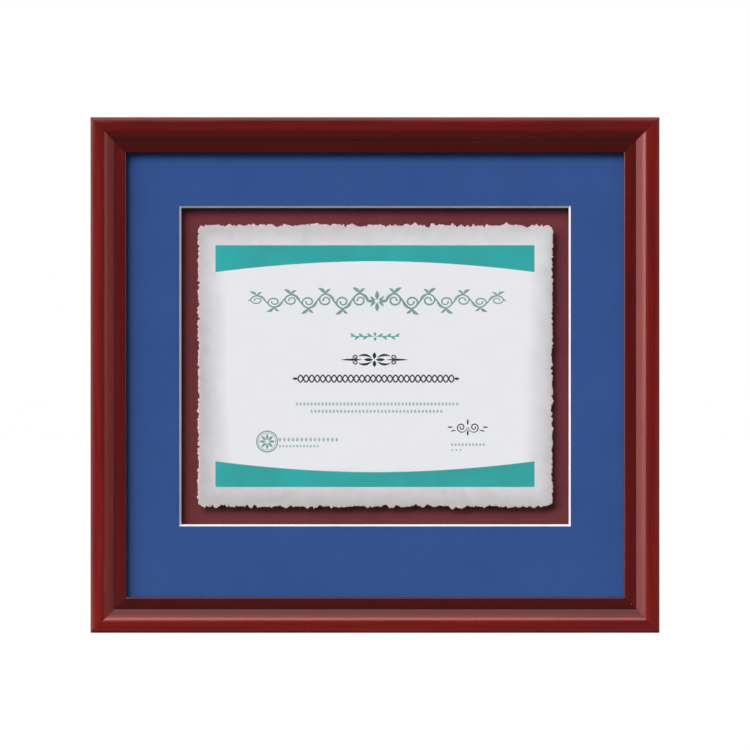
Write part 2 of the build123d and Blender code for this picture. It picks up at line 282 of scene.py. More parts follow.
def moulding_section(rebate_depth):
    """The section's points: x runs in from the outer side, y forwards from the back."""
    lip_front = rebate_depth + LIP_THICKNESS
    top = lip_front + CREST_RISE
    shoulder = Vector((EDGE_ROUND, top - CREST_FALL))
    crest = Vector((CREST_SHARE * FACE, top))
    brow = Vector((BROW_SHARE * FACE, top - BROW_FALL))
    quirk = Vector((QUIRK_SHARE * FACE, lip_front - QUIRK_DROP))
    lip = Vector((FACE - LIP_ROUND, lip_front))
    points = [Vector((0, 0)), Vector((0, shoulder.y - EDGE_ROUND))]
    points += arc_from(points[-1], shoulder, (0, 1), 8)
    points += [*reversed(arc_from(crest, shoulder, (-1, 0), 10)[:-1]), crest]
    points += arc_from(crest, brow, (1, 0), 18)
    # The hollow carries on from the brow in the way that the brow ends.
    turn = 2 * math.atan2(brow.y - crest.y, brow.x - crest.x)
    points += arc_from(brow, quirk, (math.cos(turn), math.sin(turn)), 18)
    points += [*reversed(arc_from(lip, quirk, (-1, 0), 12)[:-1]), lip]
    points += arc_from(lip, (FACE, lip_front - LIP_ROUND), (1, 0), 8)
    points += [Vector((FACE, rebate_depth)), Vector((FACE - LEDGE, rebate_depth))]
    points += [Vector((FACE - LEDGE, 0))]
    return points


def new_tree(name, inputs):
    """An empty geometry tree with a geometry in and out, and inputs by name and kind."""
    tree = bpy.data.node_groups.new(name, "GeometryNodeTree")
    for label, kind in {"Geometry": "Geometry", **inputs}.items():
        tree.interface.new_socket(label, in_out="INPUT", socket_type=f"NodeSocket{kind}")
    tree.interface.new_socket("Geometry", in_out="OUTPUT", socket_type="NodeSocketGeometry")
    given = tree.nodes.new("NodeGroupInput")
    return tree, given.outputs


def end_tree(tree, geometry, material):
    """Ends a tree in real geometry that carries its material."""
    real = add_node(tree, "GeometryNodeRealizeInstances", {"Geometry": geometry})
    done = add_node(tree, "GeometryNodeSetMaterial", {"Geometry": real, "Material": material})
    out = tree.nodes.new("NodeGroupOutput")
    tree.links.new(done.outputs[0], out.inputs["Geometry"])
    return tree


def joined(tree, x, y, z):
    """A vector of three parts."""
    return add_node(tree, "ShaderNodeCombineXYZ", {"X": x, "Y": y, "Z": z})


def mitred_length_tree():
    """Runs a section along Z and cuts both ends at 45 degrees, with eased edges."""
    tree, given = new_tree(
        "mitred_length", {"Length": "Float", "Ease": "Float", "Gap": "Float", "Finish": "Material"}
    )
    section = add_node(tree, "GeometryNodeMeshToCurve", {"Mesh": given["Geometry"]})
    run = add_node(tree, "GeometryNodeCurvePrimitiveLine", {"End": (0, 0, 1)})
    rows = add_node(tree, "GeometryNodeSubdivideCurve", {"Curve": run, "Cuts": 2})
    body = add_node(
        tree,
        "GeometryNodeCurveToMesh",
        {"Curve": rows, "Profile Curve": section, "Fill Caps": True},
    )
    place = add_node(tree, "GeometryNodeInputPosition")
    along = axes(tree, place)["Z"]
    # Rows lie at 0, 1/3, 2/3 and 1: the outer two are the eased ends, the inner two full.
    half = sums(tree, "GREATER_THAN", along, 0.5)
    from_end = sums(tree, "ABSOLUTE", less(tree, along, 0.5))
    is_end = sums(tree, "GREATER_THAN", from_end, 0.4)
    outward = add_node(
        tree, "GeometryNodeInputNamedAttribute", {"Name": "outward"}, data_type="FLOAT_VECTOR"
    )
    shrink = times(tree, is_end, given["Ease"])
    inset = add_node(tree, "ShaderNodeVectorMath", {0: outward, "Scale": shrink}, operation="SCALE")
    slimmer = add_node(tree, "ShaderNodeVectorMath", {0: place, 1: inset}, operation="SUBTRACT")
    slim = axes(tree, slimmer)
    set_back = plus(tree, slim["X"], given["Gap"])
    set_back = plus(tree, set_back, times(tree, less(tree, 1.0, is_end), given["Ease"]))
    far = less(tree, given["Length"], set_back)
    height = mixed(tree, half, set_back, far, "FLOAT")
    cut = joined(tree, slim["X"], slim["Y"], height)
    mitred = add_node(tree, "GeometryNodeSetPosition", {"Geometry": body, "Position": cut})
    return end_tree(tree, mitred, given["Finish"])


def new_object(name, data):
    """An object in the scene, for a mesh, a curve, a lamp or a camera."""
    thing = bpy.data.objects.new(name, data)
    bpy.context.scene.collection.objects.link(thing)
    return thing


def as_mesh(thing):
    """The mesh that an object has once its modifiers are applied. The object goes."""
    ready = bpy.context.evaluated_depsgraph_get()
    mesh = bpy.data.meshes.new_from_object(thing.evaluated_get(ready), depsgraph=ready)
    bpy.data.objects.remove(thing)
    return mesh


def grown(name, begin, tree, **inputs):
    """What a geometry tree makes of a mesh or a curve, as a plain mesh."""
    start = new_object("start", begin)
    maker = start.modifiers.new("maker", "NODES")
    maker.node_group = tree
    for socket in tree.interface.items_tree:
        if socket.in_out == "INPUT" and socket.name in inputs:
            maker[socket.identifier] = inputs[socket.name]
    mesh = as_mesh(start)
    mesh.name = name
    return mesh


def mark(mesh, name, values):
    """Gives each point of a mesh a named value of its own: a number or a vector."""
    is_vector = isinstance(values[0], Vector)
    layer = mesh.attributes.new(name, "FLOAT_VECTOR" if is_vector else "FLOAT", "POINT")
    for entry, value in zip(layer.data, values):
        setattr(entry, "vector" if is_vector else "value", value)


def face_out(mesh):
    """Merges a mesh's doubles and turns its faces outwards."""
    work = bmesh.new()
    work.from_mesh(mesh)
    bmesh.ops.remove_doubles(work, verts=work.verts, dist=1e-7)
    bmesh.ops.recalc_face_normals(work, faces=work.faces)
    work.to_mesh(mesh)
    work.free()


def add_piece(name, mesh, finish, stands_for=(), body="frame", sharp=math.radians(32)):
    """Puts a finished mesh into the scene as a piece that rides on a body."""
    mesh.materials.clear()
    mesh.materials.append(finish)
    for face in mesh.polygons:
        face.use_smooth = True
    mesh.set_sharp_from_angle(angle=sharp)
    piece = new_object(name, mesh)
    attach(piece, body)
    if stands_for:
        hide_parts(*stands_for)


def outward_of(points, k):
    """The way out of a clockwise outline at its point k, long enough to keep the walls apart."""
    before = (points[k] - points[k - 1]).normalized()
    after = (points[(k + 1) % len(points)] - points[k]).normalized()
    first, second = Vector((-before.y, before.x)), Vector((-after.y, after.x))
    return (first + second) / (1 + first.dot(second))


back_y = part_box("top_rail")[1].y
rebate_depth = back_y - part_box("glass_pane")[0].y
width = cad_high.x - cad_low.x
height = cad_high.z - cad_low.z
section_points = moulding_section(rebate_depth)
# Turns sharper than a step of the rounds stay edges, such as those of the eased mitres.
round_step = math.radians(14)
rail_starts = {
    "bottom_rail": ((cad_low.x, back_y, cad_low.z), (0, 0, 1), (1, 0, 0), width),
    "right_rail": ((cad_high.x, back_y, cad_low.z), (-1, 0, 0), (0, 0, 1), height),
    "top_rail": ((cad_high.x, back_y, cad_high.z), (0, 0, -1), (-1, 0, 0), width),
    "left_rail": ((cad_low.x, back_y, cad_high.z), (1, 0, 0), (0, 0, -1), height),
}
timber = stained_timber()
mitred_length = mitred_length_tree()

# The slots that the corner nails leave: a copy of the nails, drawn out past the back face.
nail_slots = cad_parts["corner_v_nails"].data.copy()
face_out(nail_slots)
nail_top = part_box("corner_v_nails")[1].y
for vertex in nail_slots.vertices:
    at_back = vertex.co.y > nail_top - SLOT_PAST_BACK
    vertex.co.y = back_y + SLOT_PAST_BACK if at_back else nail_top - SLOT_OVER_NAIL
slot_cutter = new_object("slot_cutter", nail_slots)

for number, (name, (origin, inward, along, length)) in enumerate(rail_starts.items()):
    outline = bpy.data.meshes.new("moulding_section")
    count = len(section_points)
    outline.from_pydata(
        [(p.x, p.y, 0) for p in section_points], [(k, (k + 1) % count) for k in range(count)], []
    )
    mark(outline, "outward", [outward_of(section_points, k).to_3d() for k in range(count)])
    mesh = grown(
        name, outline, mitred_length, Length=length, Ease=MITRE_EASE, Gap=MITRE_GAP, Finish=timber
    )
    inward, along = Vector(inward), Vector(along)
    stand = Matrix((inward, along.cross(inward), along)).transposed().to_4x4()
    stand.translation = origin
    mesh.transform(stand)
    face_out(mesh)
    rail = new_object("uncut_rail", mesh)
    cut = rail.modifiers.new("slots", "BOOLEAN")
    cut.object = slot_cutter
    cut.solver = "EXACT"
    mesh = as_mesh(rail)
    # Each length came off another part of the board, so its grain starts elsewhere. Each also gets
    # its own share of pooled stain and painted shade, most on the top length.
    unstand = stand.inverted()
    places = [unstand @ vertex.co for vertex in mesh.vertices]
    first_place = Vector((0, 0, GRAIN_SHIFT * number))
    mark(mesh, "grain", [place + first_place for place in places])
    mark(mesh, "stain_and_shade", [stain_and_shade_at(place.x, STAIN_AND_SHADE_TAKEN[name]) for place in places])
    add_piece(f"moulding_{name}", mesh, timber, [name], sharp=round_step)
bpy.data.objects.remove(slot_cutter)

# The corner nails: sharpened steel chevrons pressed across each mitre from the back.
# They keep their modelled shape; the shop's zinc plate is dulled and a little scratched.
ZINC = (0.66, 0.67, 0.68, 1)
ZINC_YELLOWED = (0.64, 0.62, 0.55, 1)
ZINC_DULL = (0.42, 0.43, 0.45, 1)


def zinc_steel():
    finish, tree, shader = new_finish("zinc_plated_steel", Metallic=1.0)
    place = place_on(tree)
    cloud = patches(tree, place, 420.0, 4.0, 0.6)
    scratch = patches(tree, stretched(tree, place, (5200, 5200, 500)), 1.0, 3.0, 0.6)
    dulled = spread(tree, cloud, 0.42, 0.66)
    yellowed = spread(tree, patches(tree, place, 130.0), 0.4, 0.62)
    tint = mixed(tree, yellowed, ZINC, ZINC_YELLOWED)
    tint = mixed(tree, dulled, tint, ZINC_DULL)
    rough = plus(tree, spread(tree, cloud, 0.3, 0.7, 0.26, 0.44), times(tree, scratch, 0.08))
    dress(tree, shader, tint, rough, scratch, 0.006 * MM)
    return finish


def refinish(finish, *nodes):
    """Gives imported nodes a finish; their shapes stay."""
    for node in nodes:
        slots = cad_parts[node].data.materials
        slots.clear()
        slots.append(finish)


steel = zinc_steel()
refinish(steel, "corner_v_nails")

# The glazing: a sheet of picture glass with an anti-reflection film, so that it all but vanishes
# from the front and shines only at a slant. It has a faint green tint.
GLASS_TINT = (0.988, 0.993, 0.99, 1)
GLASS_CLEAR = 0.1 * MM
GLASS_EASE = 0.25 * MM


def picture_glass():
    finish = bpy.data.materials.new("picture_glass")
    finish.use_nodes = True
    tree = finish.node_tree
    tree.nodes.clear()
    slant = add_node(tree, "ShaderNodeLayerWeight", {"Blend": 0.5}).outputs["Facing"]
    mirror = sums(tree, "MULTIPLY_ADD", sums(tree, "POWER", slant, 4.0), 0.55, 0.0035)
    place = place_on(tree)
    smear = spread(tree, patches(tree, place, 28.0, 3.0), 0.4, 0.7, 0.0, 0.05)
    clear = add_node(tree, "ShaderNodeBsdfTransparent", {"Color": GLASS_TINT})
    gloss = add_node(tree, "ShaderNodeBsdfAnisotropic", {"Roughness": smear})
    pane = add_node(tree, "ShaderNodeMixShader", {0: mirror, 1: clear, 2: gloss})
    out = add_node(tree, "ShaderNodeOutputMaterial")
    tree.links.new(pane.outputs[0], out.inputs["Surface"])
    return finish


def eased_pane(low, high, ease):
    """A flat sheet between two corners, with its sharp edges taken off."""
    work = bmesh.new()
    bmesh.ops.create_cube(work, size=1)
    for vertex in work.verts:
        vertex.co = [low[k] + (vertex.co[k] + 0.5) * (high[k] - low[k]) for k in range(3)]
    bmesh.ops.bevel(work, geom=work.edges[:], offset=ease, segments=2, profile=0.5, affect="EDGES")
    mesh = bpy.data.meshes.new("pane")
    work.to_mesh(mesh)
    work.free()
    return mesh


# It stops a little short of the mat behind it, as a sheet of glass never lies dead flat.
glass_low, glass_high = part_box("glass_pane")
glass_high.y -= GLASS_CLEAR
glass = eased_pane(glass_low, glass_high, GLASS_EASE)
flat_only = math.radians(20)
add_piece("picture_glass", glass, picture_glass(), ["glass_pane"], sharp=flat_only)

# The window mat: blue facing paper on a white core board, cut with a slanted blade, so a
# white bevel shows round the window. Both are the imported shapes.
MAT_BLUE = (0.0290, 0.0775, 0.260, 1)
MAT_BLUE_WORN = (0.0355, 0.0885, 0.284, 1)
CORE_WHITE = (0.88, 0.88, 0.91, 1)
CORE_SHADED = (0.80, 0.80, 0.83, 1)
CORE_TOOTH = 5200.0
PAPER_TOOTH = 0.02 * MM


def facing_paper(name, deep, light, tooth=3400.0):
    """A plain coloured board paper with a fine tooth and a slow drift of tone."""
    finish, tree, shader = new_finish(name, Specular_IOR_Level=0.12)
    place = place_on(tree)
    drift = patches(tree, place, 16.0, 3.0, 0.6)
    fibre = patches(tree, stretched(tree, place, (1.0, 1.0, 0.45)), 900.0, 4.0, 0.65)
    grit = patches(tree, place, tooth, 3.0, 0.7)
    tone = plus(tree, times(tree, drift, 0.5), times(tree, fibre, 0.5))
    colour = mixed(tree, spread(tree, tone, 0.38, 0.62), deep, light)
    rough = spread(tree, grit, 0.3, 0.7, 0.72, 0.9)
    dress(tree, shader, colour, rough, plus(tree, fibre, times(tree, grit, 0.6)), PAPER_TOOTH, 0.6)
    return finish


refinish(facing_paper("mat_facing_blue", MAT_BLUE, MAT_BLUE_WORN), "mat_facing")
refinish(facing_paper("mat_core_white", CORE_SHADED, CORE_WHITE, CORE_TOOTH), "mat_core")

# The foam board spacers and the float block: white extruded foam between two papers.
# They are hidden from the front and lift the mat and the sheet off the mounting board.
FOAM_WHITE = (0.86, 0.86, 0.84, 1)
FOAM_SHADED = (0.76, 0.76, 0.74, 1)
FOAM_CELLS = 1900.0


def foam_board():
    finish, tree, shader = new_finish("foam_board", Specular_IOR_Level=0.2)
    place = place_on(tree)
    cells = add_node(tree, "ShaderNodeTexVoronoi", {"Vector": place, "Scale": FOAM_CELLS})
    distance = cells.outputs["Distance"]
    tone = mixed(tree, spread(tree, distance, 0.1, 0.7), FOAM_WHITE, FOAM_SHADED)
    rough = spread(tree, distance, 0.0, 0.8, 0.6, 0.85)
    dress(tree, shader, tone, rough, distance, 0.12 * MM, 0.6)
    return finish


refinish(foam_board(), "top_spacer", "bottom_spacer", "left_spacer", "right_spacer", "float_block")

# The mounting board: burgundy paper on a stiff board, seen in the gap round the sheet.
BOARD_DEEP = (0.155, 0.0325, 0.0395, 1)
BOARD_LIGHT = (0.185, 0.0400, 0.0480, 1)
refinish(facing_paper("mount_board_burgundy", BOARD_DEEP, BOARD_LIGHT), "mount_board")

# The mounting tapes: thin double-sided film, hidden between the sheet and its block.
# There are four strips, near the block's corners.
TAPE_CREAM = (0.88, 0.87, 0.82, 1)
TAPE_DEEP = (0.80, 0.78, 0.70, 1)


def film_tape():
    finish, tree, shader = new_finish("film_tape", Specular_IOR_Level=0.4)
    place = place_on(tree)
    ripple = patches(tree, stretched(tree, place, (1.0, 1.0, 0.2)), 700.0, 3.0)
    tone = mixed(tree, ripple, TAPE_DEEP, TAPE_CREAM)
    dress(tree, shader, tone, spread(tree, ripple, 0.3, 0.7, 0.35, 0.55), ripple, 0.02 * MM)
    return finish


refinish(film_tape(), "mounting_tapes")

# The certificate sheet: stiff cotton paper with four torn, deckled edges, darker towards its
# margin. It floats in the window on its foam block, held by the tapes.
SHEET_STEP = 0.33 * MM
SHEET_WANDER = 1.4 * MM
SHEET_TRIM_HEAD = 0.55 * MM
SHEET_TRIM_FOOT = 0.75 * MM
SHEET_TRIM_LEFT = 0.27 * MM
SHEET_TEAR = 1.0 * MM
SHEET_CORNER = 4.6 * MM
SHEET_DEEPEST_NICK = 1.8 * MM
# Less than the corner's radius once the trim is added, or the flat face folds over itself.
SHEET_FLAT_INSET = 2.9 * MM
SHEET_FADE = 27 * MM
PAPER_MIDDLE = (0.840, 0.825, 0.868, 1)
PAPER_MARGIN = (0.555, 0.520, 0.530, 1)
PAPER_TORN = (0.68, 0.575, 0.585, 1)
PAPER_BLOTCH = (0.43, 0.42, 0.42, 1)
PAPER_FLECK = (0.62, 0.61, 0.62, 1)
# How much of the sheet's thickness lies in front of its torn rim, and in front of its lip.
RIM_LEVEL = 0.62
LIP_LEVEL = 0.25 * RIM_LEVEL
# The tear's slow waves, short waves, jags and nicks: how many to the metre, and how strong.
SLOW_WAVE = (80, 0.6)
SHORT_WAVE = (300, 1.2)
JAG = (950, 0.8)
NICK = (460, 2.4)
NICKS_START = 0.12
FACE_SEED, BACK_SEED = 11, 29
sheet_low, sheet_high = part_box("certificate_sheet")
sheet_centre = (sheet_low + sheet_high) / 2
sheet_half = (sheet_high - sheet_low) / 2


def cotton_paper():
    finish, tree, shader = new_finish("cotton_paper", Specular_IOR_Level=0.12)
    place = place_on(tree)
    centred = add_node(
        tree, "ShaderNodeVectorMath", {0: place, 1: sheet_centre}, operation="SUBTRACT"
    )
    spans = axes(tree, centred)
    room_x = less(tree, sheet_half.x, sums(tree, "ABSOLUTE", spans["X"]))
    room_z = less(tree, sheet_half.z, sums(tree, "ABSOLUTE", spans["Z"]))
    room = sums(tree, "SMOOTH_MIN", times(tree, room_x, 1.3), room_z, 12 * MM)
    cloud = patches(tree, place, 34.0, 4.0, 0.6)
    mottle = patches(tree, place, 130.0, 4.0, 0.6)
    fibre = patches(tree, place, 2300.0, 3.0, 0.7)
    # The margin is darker towards the foot and the left side.
    drift = times(tree, less(tree, cloud, 0.5), 0.4 * SHEET_FADE)
    drift = sums(tree, "MULTIPLY_ADD", spans["X"], 0.02, drift)
    drift = sums(tree, "MULTIPLY_ADD", spans["Z"], 0.03, drift)
    margin_darkening = spread(tree, plus(tree, room, drift), 0.0, SHEET_FADE, 1.0, 0.0)
    margin_darkening = sums(tree, "POWER", margin_darkening, 1.15)
    tone = mixed(tree, margin_darkening, PAPER_MIDDLE, PAPER_MARGIN)
    blotch = times(tree, spread(tree, mottle, 0.42, 0.68), times(tree, margin_darkening, 0.35))
    tone = mixed(tree, blotch, tone, PAPER_BLOTCH)
    fleck = times(tree, spread(tree, fibre, 0.55, 0.75), 0.12)
    tone = mixed(tree, fleck, tone, PAPER_FLECK)
    # The torn rim shows the sheet's own dull pink-grey pulp.
    torn = add_node(tree, "ShaderNodeAttribute", attribute_name="torn").outputs["Fac"]
    tone = mixed(tree, torn, tone, PAPER_TORN)
    swell = plus(tree, times(tree, fibre, 0.4), times(tree, mottle, 0.6))
    dress(tree, shader, tone, spread(tree, fibre, 0.3, 0.7, 0.75, 0.92), swell, 0.05 * MM)
    return finish


def sheet_outline():
    """Places round the sheet's edge with their ways out: four sides and four eased corners."""
    half_x, half_z, ease = sheet_half.x, sheet_half.z, SHEET_CORNER
    corners = ((1, -1, -90), (1, 1, 0), (-1, 1, 90), (-1, -1, 180))
    places = []
    for number, (x_side, z_side, first) in enumerate(corners):
        middle = Vector((x_side * (half_x - ease), z_side * (half_z - ease)))
        for k in range(9):
            angle = math.radians(first + 90 * k / 9)
            way = Vector((math.cos(angle), math.sin(angle)))
            places.append((middle + way * ease, way))
        way = Vector((math.cos(math.radians(first + 90)), math.sin(math.radians(first + 90))))
        next_x, next_z, _ = corners[(number + 1) % 4]
        begin = middle + way * ease
        end = Vector((next_x * (half_x - ease), next_z * (half_z - ease))) + way * ease
        steps = round((end - begin).length / SHEET_STEP)
        places += [(begin.lerp(end, k / steps), way) for k in range(steps)]
    return places


def swayed(place, pattern, seed):
    """A steady random number for a place on the sheet, from a scale and a strength."""
    scale, strength = pattern
    return strength * noise.noise(Vector((place.x * scale, place.y * scale, seed)))


def deckle_ring(places, inset, roughness, seed):
    """The outline drawn in by an uneven amount: slow waves, jags and a few deep nicks."""
    ring = []
    for place, way in places:
        # The head and the foot were torn more roughly than the two sides.
        share = 0.7 + 0.3 * abs(way.y)
        wave = swayed(place, SLOW_WAVE, seed) + swayed(place, SHORT_WAVE, seed + 3)
        jag = swayed(place, JAG, seed + 5)
        nick = max(0.0, swayed(place, NICK, seed + 7) - NICK[1] * NICKS_START)
        uneven = min(roughness * share * (wave + jag + nick), SHEET_DEEPEST_NICK)
        trim = SHEET_TRIM_HEAD * max(0, way.y) + SHEET_TRIM_FOOT * max(0, -way.y)
        trim += SHEET_TRIM_LEFT * max(0, -way.x)
        ring.append(place - way * (inset + trim + uneven))
    return ring


def shell(name, rings):
    """A closed mesh over rings of places, one behind the other, with both ends filled."""
    count = len(rings[0])
    last = count * (len(rings) - 1)
    faces = [list(range(count))]
    for low in range(0, last, count):
        for k in range(count):
            after = (k + 1) % count
            faces.append((low + k, low + after, low + count + after, low + count + k))
    faces.append([last + k for k in reversed(range(count))])
    mesh = bpy.data.meshes.new(name)
    mesh.from_pydata([place for ring in rings for place in ring], [], faces)
    return mesh


def stood_at(ring, y):
    """A ring drawn flat about the sheet's centre, stood up at a level."""
    return [(sheet_centre.x + p.x, y, sheet_centre.z + p.y) for p in ring]


def certificate_mesh():
    """The sheet as a closed shell: flat face, thin torn rim, flat back."""
    places = sheet_outline()
    face_y, back_y = sheet_low.y, sheet_high.y
    lip_y = face_y + LIP_LEVEL * (back_y - face_y)
    rim_y = face_y + RIM_LEVEL * (back_y - face_y)
    # Each ring: its outline, its level and how much of its pulp is torn bare.
    rings = (
        (deckle_ring(places, SHEET_FLAT_INSET, 0.0, 0), face_y, 0.0),
        (deckle_ring(places, SHEET_TEAR, SHEET_WANDER, FACE_SEED), face_y, 0.15),
        (deckle_ring(places, 0.35 * SHEET_TEAR, SHEET_WANDER, BACK_SEED), lip_y, 1.0),
        (deckle_ring(places, 0.0, SHEET_WANDER, BACK_SEED), rim_y, 1.0),
        (deckle_ring(places, 0.2 * MM, SHEET_WANDER, BACK_SEED), back_y, 1.0),
    )
    mesh = shell("certificate", [stood_at(ring, y) for ring, y, _ in rings])
    mark(mesh, "torn", [share for ring, _, share in rings for _ in ring])
    face_out(mesh)
    return mesh, stood_at(rings[3][0], rim_y)


paper = cotton_paper()
certificate, torn_edge = certificate_mesh()
add_piece("certificate", certificate, paper, ["certificate_sheet"])

# The torn fibres: cotton hairs that the tearing pulled out of the deckled edge. They stand
# out of it all the way round, each bent and turned its own way.
FIBRE_LENGTH = 0.7 * MM
FIBRE_WIDTH = 0.05 * MM
FIBRE_SHARE = 0.62
FIBRE_SEED = 5
FIBRE_TURN = Vector((0.35, 0.6, 0.9))
SHORTEST_FIBRE = 0.35
# A hair of length 1: its root, its bend and its tip.
HAIR = {"Start": (-0.15, 0, 0), "Middle": (0.5, 0.12, 0.1), "End": (1, 0.45, 0.0)}


def tube_along(tree, curve, girth, sides):
    """A closed tube of a few sides along a curve. Its girth is a radius."""
    ring = add_node(
        tree,
        "GeometryNodeCurvePrimitiveCircle",
        {"Resolution": sides, "Radius": 1.0},
        mode="RADIUS",
    )
    return add_node(
        tree,
        "GeometryNodeCurveToMesh",
        {"Curve": curve, "Profile Curve": ring, "Scale": girth, "Fill Caps": True},
    )


def at_random(tree, kind, **inputs):
    """A random value for each point."""
    return add_node(tree, "FunctionNodeRandomValue", inputs, data_type=kind)


def torn_fibres_tree():
    """Sets curved hairs at random on a closed edge, pointing out of it."""
    tree, given = new_tree(
        "torn_fibres",
        {"Hair Length": "Float", "Hair Width": "Float", "Share": "Float", "Seed": "Int",
         "Finish": "Material"},
    )
    bend = add_node(tree, "GeometryNodeCurveQuadraticBezier", {"Resolution": 3, **HAIR})
    girth = sums(tree, "DIVIDE", given["Hair Width"], times(tree, given["Hair Length"], 2.0))
    hair = tube_along(tree, bend, girth, 3)
    chance = at_random(tree, "BOOLEAN", Probability=given["Share"], Seed=given["Seed"])
    way = add_node(
        tree, "GeometryNodeInputNamedAttribute", {"Name": "way"}, data_type="FLOAT_VECTOR"
    )
    aim = add_node(tree, "FunctionNodeAlignRotationToVector", {"Vector": way}, axis="X")
    spin = at_random(tree, "FLOAT_VECTOR", Min=-FIBRE_TURN, Max=FIBRE_TURN, Seed=given["Seed"])
    turned = add_node(
        tree,
        "FunctionNodeRotateRotation",
        {"Rotation": aim, "Rotate By": spin},
        rotation_space="LOCAL",
    )
    size = at_random(tree, "FLOAT", Min=SHORTEST_FIBRE, Max=1.0, Seed=given["Seed"])
    grow = times(tree, size.outputs[1], given["Hair Length"])
    hairs = add_node(
        tree,
        "GeometryNodeInstanceOnPoints",
        {"Points": given["Geometry"], "Selection": chance.outputs[3], "Instance": hair,
         "Rotation": turned, "Scale": grow},
    )
    return end_tree(tree, hairs, given["Finish"])


edge = bpy.data.meshes.new("torn_edge")
edge.from_pydata(torn_edge, [], [])
mark(edge, "way", [Vector((way.x, 0, way.y)) for _, way in sheet_outline()])
fibres = grown(
    "torn_fibres", edge, torn_fibres_tree(),
    **{"Hair Length": FIBRE_LENGTH, "Hair Width": FIBRE_WIDTH, "Share": FIBRE_SHARE,
       "Seed": FIBRE_SEED, "Finish": paper},
)
mark(fibres, "torn", [1.0] * len(fibres.vertices))
face_out(fibres)
add_piece("torn_fibres", fibres, paper)

# The printed bands: teal ink across the sheet's head and foot, straight outside and
# sagging inside. Ink lies on the paper as a film.
INK = 0.03 * MM
BAND_HALF = 114.2 * MM
BAND_OUTER = 86.5 * MM
BAND_ENDS = 18.8 * MM
BAND_MIDDLE = 11 * MM
BAND_SAG_POWER = 1.9
BAND_STEPS = 48
TEAL = (0.029, 0.408, 0.412, 1)
TEAL_WARM = (0.034, 0.355, 0.345, 1)
SHOWING_PAPER = (0.72, 0.74, 0.76, 1)
# Each band: the way to its outer side, and how much deeper it is than the two sizes above.
BANDS = {"certificate_band_head": (1, 0.4 * MM), "certificate_band_foot": (-1, -0.4 * MM)}


def printed_ink(name, full, thin, thin_share=0.25):
    """Ink laid on cotton paper: a little uneven, thinner where the paper is rough."""
    finish, tree, shader = new_finish(name, Specular_IOR_Level=0.15)
    place = place_on(tree)
    drift = patches(tree, place, 22.0, 3.0, 0.6)
    speck = patches(tree, place, 2100.0, 3.0, 0.7)
    tone = mixed(tree, spread(tree, drift, 0.38, 0.62), full, thin)
    pale = times(tree, spread(tree, speck, 0.6, 0.78), thin_share)
    tone = mixed(tree, pale, tone, SHOWING_PAPER)
    dress(tree, shader, tone, spread(tree, speck, 0.3, 0.7, 0.6, 0.82), speck, 0.02 * MM)
    return finish


def film(name, outline):
    """A closed film of ink over an outline of x and z places."""
    rings = [
        [(x, sheet_low.y + y, sheet_centre.z + z) for x, z in outline] for y in (-INK, 0.3 * INK)
    ]
    mesh = shell(name, rings)
    face_out(mesh)
    return mesh


teal_ink = printed_ink("teal_ink", TEAL, TEAL_WARM, 0.12)
for name, (side, deeper) in BANDS.items():
    outline = [(-BAND_HALF, side * BAND_OUTER), (BAND_HALF, side * BAND_OUTER)]
    for k in range(BAND_STEPS + 1):
        share = 1 - k / (BAND_STEPS / 2)
        sag = abs(share) ** BAND_SAG_POWER
        depth = BAND_MIDDLE + (BAND_ENDS - BAND_MIDDLE) * sag + deeper
        outline.append((share * BAND_HALF, side * (BAND_OUTER - depth)))
    add_piece(name, film(name, outline), teal_ink)

# The printed ornaments: a running scroll, a leafed twig, a centre device, a plaited rule,
# dotted rules, a rosette and a pair of curls. Each is drawn in pen strokes, in millimetres
# from its own centre, and grown into raised ink that stands a hair above the paper.
LAYER_STEP = 0.618
GREY_GREEN = (0.185, 0.315, 0.285, 1)
GREY_GREEN_THIN = (0.22, 0.36, 0.33, 1)
GREEN = (0.10, 0.36, 0.33, 1)
GREEN_THIN = (0.14, 0.40, 0.37, 1)
DARK = (0.022, 0.024, 0.030, 1)
DARK_THIN = (0.035, 0.036, 0.044, 1)


def pen_strokes_tree():
    """Turns strokes drawn flat into raised ink that stands on the sheet."""
    tree, given = new_tree(
        "pen_strokes", {"Ink Height": "Float", "Lift": "Vector", "Finish": "Material"}
    )
    # Strokes that cross differ a little in height, as later ink lies over earlier.
    number = add_node(tree, "GeometryNodeInputIndex")
    order = sums(tree, "FRACT", times(tree, number, LAYER_STEP))
    strokes = add_node(
        tree,
        "GeometryNodeStoreNamedAttribute",
        {"Geometry": given["Geometry"], "Name": "layer", "Value": order},
        data_type="FLOAT",
        domain="CURVE",
    )
    ink = tube_along(tree, strokes, add_node(tree, "GeometryNodeInputRadius"), 8)
    layer = add_node(tree, "GeometryNodeInputNamedAttribute", {"Name": "layer"}, data_type="FLOAT")
    thick = sums(tree, "MULTIPLY_ADD", layer, 0.4, 0.6)
    thick = times(tree, thick, given["Ink Height"])
    parts = axes(tree, add_node(tree, "GeometryNodeInputPosition"))
    # Each stroke is flattened to the film's height, so wide and fine ones stand alike.
    rounded = sums(tree, "MINIMUM", sums(tree, "ABSOLUTE", parts["Z"]), thick)
    level = times(tree, sums(tree, "SIGN", parts["Z"]), rounded)
    upright = joined(tree, parts["X"], times(tree, level, -1.0), parts["Y"])
    stood = add_node(
        tree,
        "GeometryNodeSetPosition",
        {"Geometry": ink, "Position": upright, "Offset": given["Lift"]},
    )
    return end_tree(tree, stood, given["Finish"])


def lens(start, end, thickness, bow=0.0, steps=14, blunt=0.12):
    """A stroke that swells from a fine start and thins to a fine end, bowed to its left."""
    start, end = Vector(start), Vector(end)
    side = Vector((start.y - end.y, end.x - start.x))
    stroke = []
    for k in range(steps + 1):
        share = k / steps
        place = start.lerp(end, share) + side * (bow * 4 * share * (1 - share))
        stroke.append((place, thickness * (blunt + (1 - blunt) * math.sin(math.pi * share))))
    return stroke


